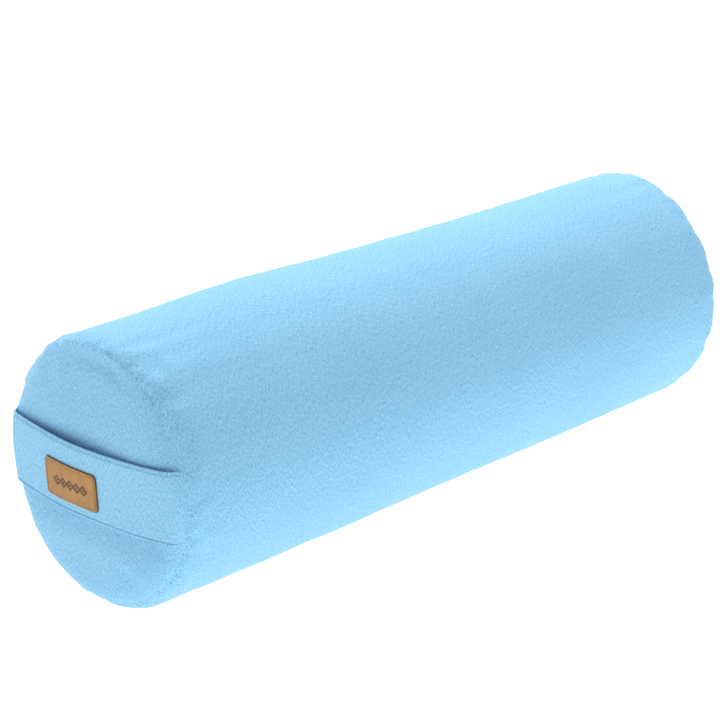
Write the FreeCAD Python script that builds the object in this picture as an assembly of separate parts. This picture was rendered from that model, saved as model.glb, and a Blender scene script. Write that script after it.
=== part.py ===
"""Round yoga bolster: a husk-filled liner inside a removable zipped cover with an end carry strap.

The bolster lies along X on its flattened underside, with the carry strap at the -X end and the zip
along the +Y side. The origin is the middle of the resting face, +Z is up, and lengths are in mm.
"""
import FreeCAD
import Part
import math
import os
from FreeCAD import Vector

# Filled cover: outer surface
RADIUS = 110.0  # tube
REST_HALF_WIDTH = 32.0  # half the width of the flattened underside
SEAM_X = 335.0  # end seams, each side of the middle
SEAM_RADIUS = 104.0
SHOULDER_RADIUS = 18.0  # rounding of the tube into the end seam
APEX_X = 345.0  # middle of each crowned end panel
CROWN_RADIUS = 1200.0  # nearly flat middle of an end panel
CROWN_REACH = 88.0  # how far out that flat middle goes

# Layers, as depths below the cover's outer surface
COVER_CLOTH = 1.0
THREAD_DEPTH = 1.6
LINER_DEPTH = 3.2
LINER_CLOTH = 0.6
FILL_DEPTH = 4.1
THREAD_RADIUS = 0.35

# Carry strap and its patch
STRAP_WIDTH = 60.0
STRAP_CLOTH = 2.2
STRAP_SIDE_GAP = 0.5  # off the end panel's rounded edge
STRAP_MID_GAP = 9.0  # off the end panel's middle
STRAP_RISE = 2.0  # strap's centre line above the bolster's axis
STRAP_END_ANGLE = 40.0  # where the strap stops, just short of the seam
STITCH_INSET = 2.5
PATCH_LENGTH = 61.0
PATCH_HEIGHT = 32.0
PATCH_CORNER = 4.0
PATCH_LEATHER = 1.6
PATCH_Y = 15.5
PATCH_DROP = 5.0  # patch's centre below the strap's centre line
PATCH_STITCH_INSET = 2.2
PATCH_STITCH = 2.2
PATCH_STITCH_PITCH = 3.4

# Zip, along the tube's lengthwise seam
ZIP_ANGLE = 12.0  # above the +Y side
ZIP_HALF = 240.0  # half the length of the slit in the cover
SLIT_WIDTH = 13.0
TAPE_OUTER = RADIUS - 1.2
TAPE_CLOTH = 0.5
TAPE_GAP = 1.7  # tape's inner edge to the zip's mid-line
TAPE_REACH = 15.0
TAPE_OVERRUN = 14.0
COIL_LOW = -1.15  # heights are above the tube's outer surface
COIL_HIGH = 1.0
COIL_INNER = 0.25
COIL_OUTER = 3.0
COIL_SPREAD = 1.35  # how far each coil moves out around the slider's wedge
COIL_FRONT_EASE = 0.45  # how much of that the coil's outer side gives up at the slider's front
COIL_WIDE_EASE = 0.75  # and where the coils stand widest
TOPSTITCH_OFFSET = 4.0  # topstitching to the slit's edge
SLIDER_LENGTH = 11.0
SLIDER_REAR_HALF = 4.0
SLIDER_FRONT_HALF = 5.4
SLIDER_WALL = 0.8
SLIDER_X = 220.0  # slider's middle with the zip closed
PLATE_LOW = (-2.8, -2.0)
PLATE_HIGH = (1.3, 2.3)
FLANGE_LOW = -0.9
LUG_TOP = 4.7
LUG_HALF = 0.9
PIVOT_HEIGHT = 3.0
PIVOT_X = SLIDER_X - 0.8
PIVOT_RADIUS = 0.55
PULL_LENGTH = 26.0
PULL_FORK = 5.2  # pivot to where the fork's arms join, past the end of the lug
PULL_HALF = 3.5
PULL_THICKNESS = 1.0

# Blank care tab, sewn into the lengthwise seam beyond the zip
TAB_X = (266.0, 294.0)
TAB_DROP = 36.0
TAB_CLOTH = 0.5
TAB_GAP = 0.3

AXIS_HEIGHT = math.sqrt(RADIUS**2 - REST_HALF_WIDTH**2)
AXIS = Vector(1, 0, 0)
ORIGIN = Vector(0, 0, 0)


def shoulder_centre():
    """Centre of the arc that rounds the tube into the seam, as (x, r)."""
    rise = RADIUS - SHOULDER_RADIUS
    run = math.sqrt(SHOULDER_RADIUS**2 - (SEAM_RADIUS - rise) ** 2)
    return SEAM_X - run, rise


def edge_arc():
    """Centre (x, r) and radius of the arc between an end panel's flat middle and the seam."""
    centre_x = APEX_X - CROWN_RADIUS
    slope = math.asin(CROWN_REACH / CROWN_RADIUS)
    start_x = centre_x + CROWN_RADIUS * math.cos(slope)
    dx, dr = SEAM_X - start_x, SEAM_RADIUS - CROWN_REACH
    normal = dx * math.cos(slope) + dr * math.sin(slope)
    radius = -(dx * dx + dr * dr) / (2 * normal)
    return (start_x - radius * math.cos(slope), CROWN_REACH - radius * math.sin(slope)), radius


def on_circle(centre, radius, angle):
    """Point (x, r) at an angle from the X axis."""
    return centre[0] + radius * math.cos(angle), centre[1] + radius * math.sin(angle)


def arc(centre, radius, start, end):
    """Arc in the profile plane, where a profile's r is the model's Z."""
    places = [on_circle(centre, radius, a) for a in (start, (start + end) / 2, end)]
    return Part.Arc(*(Vector(x, 0, r) for x, r in places)).toShape()


def line(a, b):
    return Part.makeLine(Vector(a[0], 0, a[1]), Vector(b[0], 0, b[1]))


def revolved(edges):
    """Solid of revolution about X from a closed chain of profile edges."""
    wire = Part.Wire(Part.__sortEdges__(edges))
    return Part.Face(wire).revolve(ORIGIN, AXIS, 360)


def end_edges(depth):
    """Profile edges from the tube to one end's apex at +X, and the tube end of that chain."""
    shoulder = shoulder_centre()
    edge, edge_radius = edge_arc()
    at_seam = math.atan2(SEAM_RADIUS - shoulder[1], SEAM_X - shoulder[0])
    seam = on_circle(shoulder, SHOULDER_RADIUS - depth, at_seam)
    flat = math.asin(CROWN_REACH / CROWN_RADIUS)
    rim = on_circle(edge, edge_radius - depth, flat)
    middle = (at_seam + flat) / 2
    bend = on_circle(edge, edge_radius - depth, middle)
    crown = (APEX_X - CROWN_RADIUS, 0.0)
    return (shoulder[0], RADIUS - depth), [
        arc(shoulder, SHOULDER_RADIUS - depth, math.pi / 2, at_seam),
        Part.Arc(*(Vector(x, 0, r) for x, r in (seam, bend, rim))).toShape(),
        arc(crown, CROWN_RADIUS - depth, flat, 0.0),
    ]


def filled_shape(depth):
    """The bolster's whole form, shrunk by a depth below the cover's outer surface."""
    tube_end, right = end_edges(depth)
    left = [e.mirror(ORIGIN, AXIS) for e in right]
    tube = line((-tube_end[0], tube_end[1]), tube_end)
    axis = line((-APEX_X + depth, 0), (APEX_X - depth, 0))
    solid = revolved([*left, tube, *right, axis])
    size = 2 * APEX_X
    floor = Part.makeBox(size, size, size, Vector(-APEX_X, -APEX_X, -AXIS_HEIGHT + depth - size))
    return solid.cut(floor)


def between(solid, x_low, x_high):
    """The part of a solid between two planes across the axis."""
    size = 4 * RADIUS
    return solid.common(Part.makeBox(x_high - x_low, size, size, Vector(x_low, -size / 2, -size / 2)))


def casing(depth, cloth, seam_x):
    """A sewn case as three pieces: tube, panel at -X and panel at +X."""
    shell = filled_shape(depth).cut(filled_shape(depth + cloth))
    far = 2 * APEX_X
    return between(shell, -seam_x, seam_x), between(shell, -far, -seam_x), between(shell, seam_x, far)


def tube_patch(r_low, r_high, v_low, v_high, x_low, x_high):
    """Curved strip on the tube. v is the distance round the tube from the zip's mid-line."""
    a, b = v_low / RADIUS, v_high / RADIUS

    def at(r, angle):
        return Vector(x_low, r * math.cos(angle), r * math.sin(angle))

    middle = (a + b) / 2
    edges = [
        Part.Arc(at(r_high, a), at(r_high, middle), at(r_high, b)).toShape(),
        Part.makeLine(at(r_high, b), at(r_low, b)),
        Part.Arc(at(r_low, b), at(r_low, middle), at(r_low, a)).toShape(),
        Part.makeLine(at(r_low, a), at(r_high, a)),
    ]
    return Part.Face(Part.Wire(edges)).extrude(Vector(x_high - x_low, 0, 0))


def plate(outline, low, high):
    """Flat plate over the zip from an outline of (x, v) points, between two heights."""
    points = [Vector(x, RADIUS + low, v) for x, v in outline]
    return Part.Face(Part.makePolygon([*points, points[0]])).extrude(Vector(0, high - low, 0))


def block(x_low, x_high, v_low, v_high, low, high):
    outline = [(x_low, v_low), (x_high, v_low), (x_high, v_high), (x_low, v_high)]
    return plate(outline, low, high)


# ---- strap ----


def strap_arcs(lift):
    """Edge arc and crown arc of the strap's path, each as (centre, radius), and where they meet."""
    edge, edge_radius = edge_arc()
    small = edge_radius + STRAP_SIDE_GAP
    apex = APEX_X + STRAP_MID_GAP
    reach = apex - small
    centre_x = (reach**2 - edge[0] ** 2 - edge[1] ** 2) / (2 * (reach - edge[0]))
    crown = (centre_x, 0.0)
    meet = math.atan2(edge[1], edge[0] - centre_x)
    return (edge, small + lift), (crown, apex - centre_x + lift), meet


def strap_layer(low, high):
    """Dome that the strap follows at the -X end, between two lifts off the strap's inner face."""
    end = math.radians(STRAP_END_ANGLE)
    edges = []
    for lift in (low, high):
        (edge, small), (crown, large), meet = strap_arcs(lift)
        edges += [arc(edge, small, end, meet), arc(crown, large, meet, 0.0)]
        if lift == low:
            inner_end, inner_apex = on_circle(edge, small, end), on_circle(crown, large, 0.0)
        else:
            outer_end, outer_apex = on_circle(edge, small, end), on_circle(crown, large, 0.0)
    edges += [line(inner_end, outer_end), line(inner_apex, outer_apex)]
    return revolved(edges).mirror(ORIGIN, AXIS)


def slab(z_low, z_high):
    size = 4 * RADIUS
    return Part.makeBox(size, size, z_high - z_low, Vector(-APEX_X - size / 2, -size / 2, z_low))


def make_strap():
    half = STRAP_WIDTH / 2
    return strap_layer(0.0, STRAP_CLOTH).common(slab(STRAP_RISE - half, STRAP_RISE + half))


def strap_stitching(side):
    """Row of thread along one long edge of the strap: side is +1 for the upper edge."""
    height = STRAP_RISE + side * (STRAP_WIDTH / 2 - STITCH_INSET)
    layer = strap_layer(STRAP_CLOTH, STRAP_CLOTH + THREAD_RADIUS)
    return layer.common(slab(height - THREAD_RADIUS, height + THREAD_RADIUS))


def patch_prism(inset):
    """Rounded upright prism that trims the patch, drawn in by an inset on every side."""
    length, height = PATCH_LENGTH - 2 * inset, PATCH_HEIGHT - 2 * inset
    corner = PATCH_CORNER - inset
    depth = 60.0
    low = Vector(-APEX_X - depth, PATCH_Y - length / 2, STRAP_RISE - PATCH_DROP - height / 2)
    box = Part.makeBox(depth, length, height, low)
    along = [e for e in box.Edges if abs(e.Vertexes[0].X - e.Vertexes[1].X) > depth / 2]
    return box.makeFillet(corner, along)


def make_patch():
    return strap_layer(STRAP_CLOTH, STRAP_CLOTH + PATCH_LEATHER).common(patch_prism(0.0))


def patch_stitching():
    """Separate stitches round the patch, lying on its face."""
    base = STRAP_CLOTH + PATCH_LEATHER
    band = strap_layer(base, base + THREAD_RADIUS).common(
        patch_prism(PATCH_STITCH_INSET - THREAD_RADIUS).cut(patch_prism(PATCH_STITCH_INSET + THREAD_RADIUS))
    )
    half_y, half_z = PATCH_LENGTH / 2 - PATCH_STITCH_INSET, PATCH_HEIGHT / 2 - PATCH_STITCH_INSET
    straight_y, straight_z = half_y - PATCH_CORNER, half_z - PATCH_CORNER
    centre_z = STRAP_RISE - PATCH_DROP
    cutters = []
    for half, across, along_y in ((straight_y, half_z, True), (straight_z, half_y, False)):
        count = int(2 * half / PATCH_STITCH_PITCH) + 1
        first = -(count - 1) * PATCH_STITCH_PITCH / 2
        for n in range(count):
            for side in (-1, 1):
                u, v = first + n * PATCH_STITCH_PITCH, side * across
                y, z = (PATCH_Y + u, centre_z + v) if along_y else (PATCH_Y + v, centre_z + u)
                size = (PATCH_STITCH, 2.0) if along_y else (2.0, PATCH_STITCH)
                low = Vector(-APEX_X - 40, y - size[0] / 2, z - size[1] / 2)
                cutters.append(Part.makeBox(40, *size, low))
    return band.common(Part.makeCompound(cutters))


# ---- zip ----


def tape(side):
    edges = sorted((side * TAPE_GAP, side * TAPE_REACH))
    reach = ZIP_HALF + TAPE_OVERRUN
    return tube_patch(TAPE_OUTER - TAPE_CLOTH, TAPE_OUTER, *edges, -reach, reach)


def coil(side):
    """One side of the closed zip, spreading round the wedge inside the slider."""
    start = -ZIP_HALF + 6.0
    rear = SLIDER_X - SLIDER_LENGTH / 2
    spread = SLIDER_X + 1.5
    front = SLIDER_X + SLIDER_LENGTH / 2 - 0.6
    inner = [(start, COIL_INNER), (rear, COIL_INNER), (spread, COIL_INNER + COIL_SPREAD)]
    inner.append((front, COIL_INNER + COIL_SPREAD))
    widest = COIL_OUTER + COIL_SPREAD
    outer = [(front, widest - COIL_FRONT_EASE), (spread, widest - COIL_WIDE_EASE)]
    outer += [(rear, COIL_OUTER), (start, COIL_OUTER)]
    return plate([(x, side * v) for x, v in inner + outer], COIL_LOW, COIL_HIGH)


def slider_outline(inset):
    rear, front = SLIDER_X - SLIDER_LENGTH / 2, SLIDER_X + SLIDER_LENGTH / 2
    half = [(rear, SLIDER_REAR_HALF), (SLIDER_X, 4.9), (front - 2, SLIDER_FRONT_HALF), (front, 4.6)]
    left = [(x, v - inset) for x, v in half]
    return left + [(x, -v) for x, v in reversed(left)]


def make_slider():
    """Two plates, side flanges, the wedge that parts the coils, and the lug that holds the pull."""
    top = plate(slider_outline(0.0), *PLATE_HIGH)
    bottom = plate(slider_outline(0.0), *PLATE_LOW)
    ring = plate(slider_outline(0.0), FLANGE_LOW, PLATE_HIGH[0])
    reach = SLIDER_LENGTH
    channel = plate(slider_outline(SLIDER_WALL), FLANGE_LOW, PLATE_HIGH[0])
    ends = block(SLIDER_X - reach, SLIDER_X - SLIDER_LENGTH / 2 + 1, -3.2, 3.2, FLANGE_LOW, PLATE_HIGH[0])
    flanges = ring.cut(channel).cut(ends)
    front = SLIDER_X + SLIDER_LENGTH / 2
    wedge = plate(
        [(front - 0.2, -1.1), (front - 0.2, 1.1), (front - 3.6, 0.5), (front - 3.6, -0.5)],
        PLATE_LOW[1],
        PLATE_HIGH[0],
    )
    lug = block(SLIDER_X - 3.6, SLIDER_X + 3.6, -LUG_HALF, LUG_HALF, PLATE_HIGH[1], LUG_TOP)
    hole = block(SLIDER_X - 2.6, SLIDER_X + 2.6, -LUG_HALF, LUG_HALF, PLATE_HIGH[1], LUG_TOP - 0.9)
    return top.fuse([bottom, flanges, wedge, lug.cut(hole)]).removeSplitter()


def make_pull():
    """Flat metal tab, forked round the lug, on a cross pin that is the hinge."""
    low, high = PIVOT_HEIGHT - PULL_THICKNESS / 2, PIVOT_HEIGHT + PULL_THICKNESS / 2
    arm_in, arm_out = LUG_HALF + 0.4, LUG_HALF + 1.5
    pin = Part.makeCylinder(
        PIVOT_RADIUS, 2 * arm_out, Vector(PIVOT_X, RADIUS + PIVOT_HEIGHT, -arm_out), Vector(0, 0, 1)
    )
    root = PIVOT_X - PULL_FORK
    arms = [block(root, PIVOT_X, *sorted((s * arm_in, s * arm_out)), low, high) for s in (-1, 1)]
    tip = root - PULL_LENGTH + PULL_HALF
    outline = [(root, -arm_out), (root, arm_out), (root - 6, PULL_HALF), (tip, PULL_HALF)]
    body = plate([*outline, (tip, -PULL_HALF), (root - 6, -PULL_HALF)], low, high)
    centre = Vector(tip, RADIUS + low, 0)
    end = Part.makeCylinder(PULL_HALF, PULL_THICKNESS, centre, Vector(0, 1, 0))
    eye = Part.makeCylinder(1.6, PULL_THICKNESS, centre, Vector(0, 1, 0))
    return body.fuse([*arms, pin, end]).cut(eye).removeSplitter()


def zip_stops():
    """Two clips ahead of the closed slider."""
    x = SLIDER_X + SLIDER_LENGTH / 2 + 2.0
    sides = [sorted((s * (TAPE_GAP + 0.1), s * 4.4)) for s in (-1, 1)]
    return Part.makeCompound([block(x, x + 3.2, *v, COIL_LOW, COIL_HIGH + 0.2) for v in sides])


def bottom_stop():
    return block(-ZIP_HALF + 2.0, -ZIP_HALF + 5.8, -3.6, 3.6, COIL_LOW, COIL_HIGH + 0.3)


def zip_topstitching(side):
    """Row of thread along one folded edge of the slit."""
    v = side * (SLIT_WIDTH / 2 + TOPSTITCH_OFFSET)
    reach = ZIP_HALF + TOPSTITCH_OFFSET
    edges = sorted((v - THREAD_RADIUS, v + THREAD_RADIUS))
    return tube_patch(RADIUS, RADIUS + THREAD_RADIUS, *edges, -reach, reach)


def slit():
    return tube_patch(RADIUS - 3, RADIUS + 3, -SLIT_WIDTH / 2, SLIT_WIDTH / 2, -ZIP_HALF, ZIP_HALF)


def care_tab():
    low = RADIUS + TAB_GAP
    return tube_patch(low, low + TAB_CLOTH, -TAB_DROP, 0.0, *TAB_X)


def at_zip(shape):
    return shape.rotated(ORIGIN, AXIS, ZIP_ANGLE)


def seam_thread(side):
    """Ring of sewing thread just inside an end seam."""
    return Part.makeTorus(
        SEAM_RADIUS - THREAD_DEPTH, THREAD_RADIUS, Vector(side * (SEAM_X - THREAD_DEPTH), 0, 0), AXIS
    )


def closing_thread():
    """Hand-sewn closing of the liner, a straight run of thread along its tube."""
    low = RADIUS - LINER_DEPTH
    return tube_patch(low, low + THREAD_RADIUS, 24.0, 24.0 + 2 * THREAD_RADIUS, -110.0, 110.0)


def make_parts():
    body, front, rear = casing(0.0, COVER_CLOTH, SEAM_X)
    liner, liner_front, liner_rear = casing(LINER_DEPTH, LINER_CLOTH, SEAM_X - LINER_DEPTH)
    return {
        "cover_body": body.cut(at_zip(slit())),
        "cover_front_panel": front,
        "cover_rear_panel": rear,
        "front_seam_thread": seam_thread(-1),
        "rear_seam_thread": seam_thread(1),
        "carry_strap": make_strap(),
        "strap_upper_stitching": strap_stitching(1),
        "strap_lower_stitching": strap_stitching(-1),
        "leather_patch": make_patch(),
        "patch_stitching": patch_stitching(),
        "zip_upper_tape": at_zip(tape(1)),
        "zip_lower_tape": at_zip(tape(-1)),
        "zip_upper_coil": at_zip(coil(1)),
        "zip_lower_coil": at_zip(coil(-1)),
        "zip_slider": at_zip(make_slider()),
        "zip_pull": at_zip(make_pull()),
        "zip_end_clips": at_zip(zip_stops()),
        "zip_bottom_stop": at_zip(bottom_stop()),
        "zip_upper_topstitching": at_zip(zip_topstitching(1)),
        "zip_lower_topstitching": at_zip(zip_topstitching(-1)),
        "care_tab": at_zip(care_tab()),
        "liner_body": liner,
        "liner_front_panel": liner_front,
        "liner_rear_panel": liner_rear,
        "liner_closing_thread": at_zip(closing_thread()),
        "husk_filling": filled_shape(FILL_DEPTH),
    }


def main():
    os.makedirs("parts", exist_ok=True)
    for name, shape in make_parts().items():
        lifted = shape.translated(Vector(0, 0, AXIS_HEIGHT))
        lifted.exportStep(f"parts/{name}.step")
        box = lifted.BoundBox
        print(
            f"{name}: solids {len(lifted.Solids)} valid {lifted.isValid()} volume {lifted.Volume:.1f}"
            f" x {box.XMin:.1f} {box.XMax:.1f} y {box.YMin:.1f} {box.YMax:.1f}"
            f" z {box.ZMin:.1f} {box.ZMax:.1f}"
        )


main()
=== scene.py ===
"""Looks of a round yoga bolster: a gathered cotton cover, carry strap, leather patch, zip and tab.

Lengths are metres in the CAD frame: the bolster lies along X, the strap is at the -X end, the zip is
on the +Y side and the floor is z = 0.
"""
import math

import bmesh
import bpy
import numpy as np
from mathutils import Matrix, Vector, noise


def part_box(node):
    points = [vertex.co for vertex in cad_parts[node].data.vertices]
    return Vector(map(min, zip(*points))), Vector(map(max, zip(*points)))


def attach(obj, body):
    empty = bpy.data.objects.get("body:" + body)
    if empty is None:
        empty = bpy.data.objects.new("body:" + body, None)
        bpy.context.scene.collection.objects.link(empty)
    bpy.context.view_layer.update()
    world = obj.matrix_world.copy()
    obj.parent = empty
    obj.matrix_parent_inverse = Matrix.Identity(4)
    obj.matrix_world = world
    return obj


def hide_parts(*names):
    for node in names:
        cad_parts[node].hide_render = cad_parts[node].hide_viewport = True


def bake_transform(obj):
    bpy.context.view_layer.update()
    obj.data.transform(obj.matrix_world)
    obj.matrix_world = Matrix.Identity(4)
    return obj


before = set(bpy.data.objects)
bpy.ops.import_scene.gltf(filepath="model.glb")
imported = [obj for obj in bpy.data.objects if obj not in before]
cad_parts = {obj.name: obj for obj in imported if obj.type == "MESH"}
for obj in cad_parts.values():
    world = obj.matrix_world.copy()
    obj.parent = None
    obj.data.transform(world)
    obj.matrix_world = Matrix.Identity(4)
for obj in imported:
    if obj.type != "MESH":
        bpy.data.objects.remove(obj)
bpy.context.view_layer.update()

# ---- driving sizes, as the CAD has them ----
RADIUS = 0.110
AXIS_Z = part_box("cover_body")[1].z - RADIUS
SEAM_X = 0.335
SEAM_RADIUS = 0.104
SHOULDER_RADIUS = 0.018
APEX_X = -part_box("cover_front_panel")[0].x
CROWN_RADIUS = 1.2
CROWN_REACH = 0.088
LINER_DEPTH = 0.0032

STRAP_RISE = 0.002
STRAP_WIDTH = 0.060
STRAP_CLOTH = 0.0022
STRAP_SIDE_GAP = 0.0005
STITCH_INSET = 0.0025
PATCH_Y = 0.0155
PATCH_DROP = 0.005
PATCH_LENGTH = 0.061
PATCH_HEIGHT = 0.032
PATCH_CORNER = 0.004
PATCH_LEATHER = 0.0016
PATCH_STITCH_INSET = 0.0022

ZIP_ANGLE = math.radians(12.0)
ZIP_HALF = 0.240
SLIT_HALF = 0.0065
TOPSTITCH_OFFSET = 0.004
COIL_LOW, COIL_HIGH = -0.00115, 0.0010
COIL_OUTER = 0.0030
COIL_SPREAD = 0.00135
SLIDER_X = 0.220
SLIDER_LENGTH = 0.011
TAB_X = (0.266, 0.294)
TAB_DROP = 0.036

# ---- cloth grid ----
COLUMNS = 136  # round the tube before subdivision, a multiple of 8
ROWS = 128  # along the straight of the tube before subdivision
SHOULDER_ROWS = 4


# ================= shared helpers =================


def smooth_step(x):
    x = np.clip(x, 0.0, 1.0)
    return x * x * (3 - 2 * x)


def bell(x, width):
    return np.exp(-((x / width) ** 2))


def link(piece):
    bpy.context.scene.collection.objects.link(piece)
    return piece


def mesh_piece(name, points, faces, material=None):
    mesh = bpy.data.meshes.new(name)
    mesh.from_pydata([tuple(map(float, p)) for p in points], [], [tuple(map(int, f)) for f in faces])
    mesh.shade_smooth()
    if material:
        mesh.materials.append(material)
    return link(bpy.data.objects.new(name, mesh))


def points_of(mesh):
    co = np.empty(len(mesh.vertices) * 3)
    mesh.vertices.foreach_get("co", co)
    return co.reshape(-1, 3)


def move_points(mesh, points):
    mesh.vertices.foreach_set("co", np.asarray(points, np.float32).ravel())
    mesh.update()


def normals_of(mesh):
    found = np.empty(len(mesh.vertices) * 3)
    mesh.vertex_normals.foreach_get("vector", found)
    return found.reshape(-1, 3)


def outward(piece):
    """Turns a closed piece's faces to point out."""
    form = bmesh.new()
    form.from_mesh(piece.data)
    bmesh.ops.recalc_face_normals(form, faces=form.faces)
    form.to_mesh(piece.data)
    form.free()


def apply_modifiers(piece):
    """Turns a piece and its modifiers into a plain mesh."""
    shown = piece.evaluated_get(bpy.context.evaluated_depsgraph_get())
    mesh = bpy.data.meshes.new_from_object(shown)
    piece.modifiers.clear()
    if piece.type == "MESH":
        piece.data = mesh
        return piece
    made = link(bpy.data.objects.new(piece.name + "_made", mesh))
    bpy.data.objects.remove(piece)
    return made


def cloth_map(mesh, u, v):
    """UV map in metres of cloth, from numbers for each face corner."""
    layer = mesh.uv_layers.new(name="cloth")
    layer.uv.foreach_set("vector", np.stack([u, v], 1).astype(np.float32).ravel())


def corner_points(mesh):
    at = np.empty(len(mesh.loops), np.int64)
    mesh.loops.foreach_get("vertex_index", at)
    return at


def ripple(points, across, along=None, seed=0.0):
    """Smooth noise from -1 to 1 at each point. The last two axes may have their own wave length."""
    along = along or across
    scaled = points / np.array([across, along, along])
    shift = Vector((seed * 7.31, seed * 3.17, seed * 5.23))
    return np.array([noise.noise(Vector(p) + shift) for p in scaled])


# ================= paint =================


class Paint:
    """A material whose nodes are added one call at a time."""

    def __init__(self, name):
        self.material = bpy.data.materials.new(name)
        self.material.use_nodes = True
        self.tree = self.material.node_tree
        self.shader = self.tree.nodes["Principled BSDF"]

    def add(self, kind, inputs=(), **settings):
        node = self.tree.nodes.new(kind)
        for key, value in settings.items():
            setattr(node, key, value)
        for key, value in dict(inputs).items():
            self.put(node, key, value)
        return node

    def put(self, node, key, value):
        if isinstance(value, bpy.types.NodeSocket):
            self.tree.links.new(value, node.inputs[key])
        else:
            node.inputs[key].default_value = value

    def math(self, operation, *values):
        return self.add("ShaderNodeMath", enumerate(values), operation=operation).outputs[0]

    def cloth_place(self):
        """The piece's UV map, in metres, as (u, v, 0)."""
        return self.add("ShaderNodeUVMap", uv_map="cloth").outputs[0]

    def object_place(self):
        return self.add("ShaderNodeTexCoord").outputs["Object"]

    def scaled(self, place, x, y, z):
        return self.add("ShaderNodeMapping", {"Vector": place, "Scale": (x, y, z)}).outputs[0]

    def noise(self, place, scale=1.0, detail=2.0, rough=0.5):
        inputs = {"Vector": place, "Scale": scale, "Detail": detail, "Roughness": rough}
        return self.add("ShaderNodeTexNoise", inputs).outputs[0]

    def spread(self, value, low, high, to_low=0.0, to_high=1.0):
        inputs = {"Value": value, "From Min": low, "From Max": high, "To Min": to_low, "To Max": to_high}
        return self.add("ShaderNodeMapRange", inputs).outputs[0]

    def mix(self, share, first, second):
        inputs = {0: share, 6: first, 7: second}
        return self.add("ShaderNodeMix", inputs, data_type="RGBA").outputs[2]

    def bump(self, height, distance, strength=1.0, under=None):
        inputs = {"Height": height, "Distance": distance, "Strength": strength}
        if under:
            inputs["Normal"] = under
        return self.add("ShaderNodeBump", inputs).outputs[0]

    def finish(self, **sockets):
        for key, value in sockets.items():
            self.put(self.shader, key.replace("_", " "), value)
        return self.material


def rgb(red, green, blue):
    return (red, green, blue, 1.0)


def weave_height(paint, place, pitch):
    """Plain weave: yarns pass over and under each other, one pitch apart."""
    apart = paint.add("ShaderNodeSeparateXYZ", {0: place}).outputs
    u, v = (paint.math("DIVIDE", apart[n], pitch) for n in (0, 1))
    heights = []
    for across, along, turn in ((u, v, 0.5), (v, u, -0.5)):
        round_yarn = paint.math("ABSOLUTE", paint.math("SINE", paint.math("MULTIPLY", across, math.pi)))
        row = paint.math("ADD", paint.math("FLOOR", across), along)
        dip = paint.math("COSINE", paint.math("MULTIPLY", row, math.pi))
        over = paint.math("MULTIPLY_ADD", dip, turn, 0.5)
        heights.append(paint.math("MULTIPLY", round_yarn, over))
    return paint.math("MAXIMUM", *heights)


def heathered_cotton(name, deep, body, light, pitch=0.00062, on_map=True):
    """Plain-weave cotton of mixed yarns: pale slubs along the yarns over a deeper ground."""
    paint = Paint(name)
    place = paint.cloth_place() if on_map else paint.object_place()
    slub = paint.noise(paint.scaled(place, 1900.0, 300.0, 900.0), detail=1.0, rough=0.6)
    weft = paint.noise(paint.scaled(place, 420.0, 1700.0, 900.0), detail=1.0)
    fleck = paint.noise(paint.scaled(place, 2000.0, 460.0, 900.0), detail=1.0, rough=0.6)
    broad = paint.noise(paint.scaled(place, 9.0, 9.0, 9.0), detail=2.0)
    tone = paint.mix(paint.spread(slub, 0.36, 0.60), deep, body)
    tone = paint.mix(paint.spread(weft, 0.50, 0.75, 0.0, 0.45), tone, light)
    tone = paint.mix(paint.spread(fleck, 0.50, 0.70, 0.0, 0.75), tone, light)
    tone = paint.mix(paint.spread(broad, 0.35, 0.65, 0.0, 0.10), tone, deep)
    weave = weave_height(paint, place, pitch)
    lift = paint.bump(slub, 0.00005, 0.6)
    lift = paint.bump(weave, 0.00016, 0.7, under=lift)
    rough = paint.spread(fleck, 0.3, 0.7, 0.82, 0.96)
    return paint.finish(
        Base_Color=tone, Roughness=rough, Normal=lift, Sheen_Weight=0.22, Sheen_Roughness=0.45,
        Sheen_Tint=rgb(0.93, 0.97, 1.0), Specular_IOR_Level=0.25,
    )


def twisted_thread(name, deep, light):
    paint = Paint(name)
    place = paint.object_place()
    twist = paint.noise(paint.scaled(place, 2600.0, 2600.0, 2600.0), detail=1.0)
    wear = paint.noise(paint.scaled(place, 160.0, 160.0, 160.0), detail=2.0)
    tone = paint.mix(paint.spread(twist, 0.35, 0.65), deep, light)
    tone = paint.mix(paint.spread(wear, 0.45, 0.7, 0.0, 0.35), tone, deep)
    return paint.finish(
        Base_Color=tone, Roughness=paint.spread(twist, 0.3, 0.7, 0.5, 0.7),
        Normal=paint.bump(twist, 0.00008), Sheen_Weight=0.15, Sheen_Roughness=0.4,
    )


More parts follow.
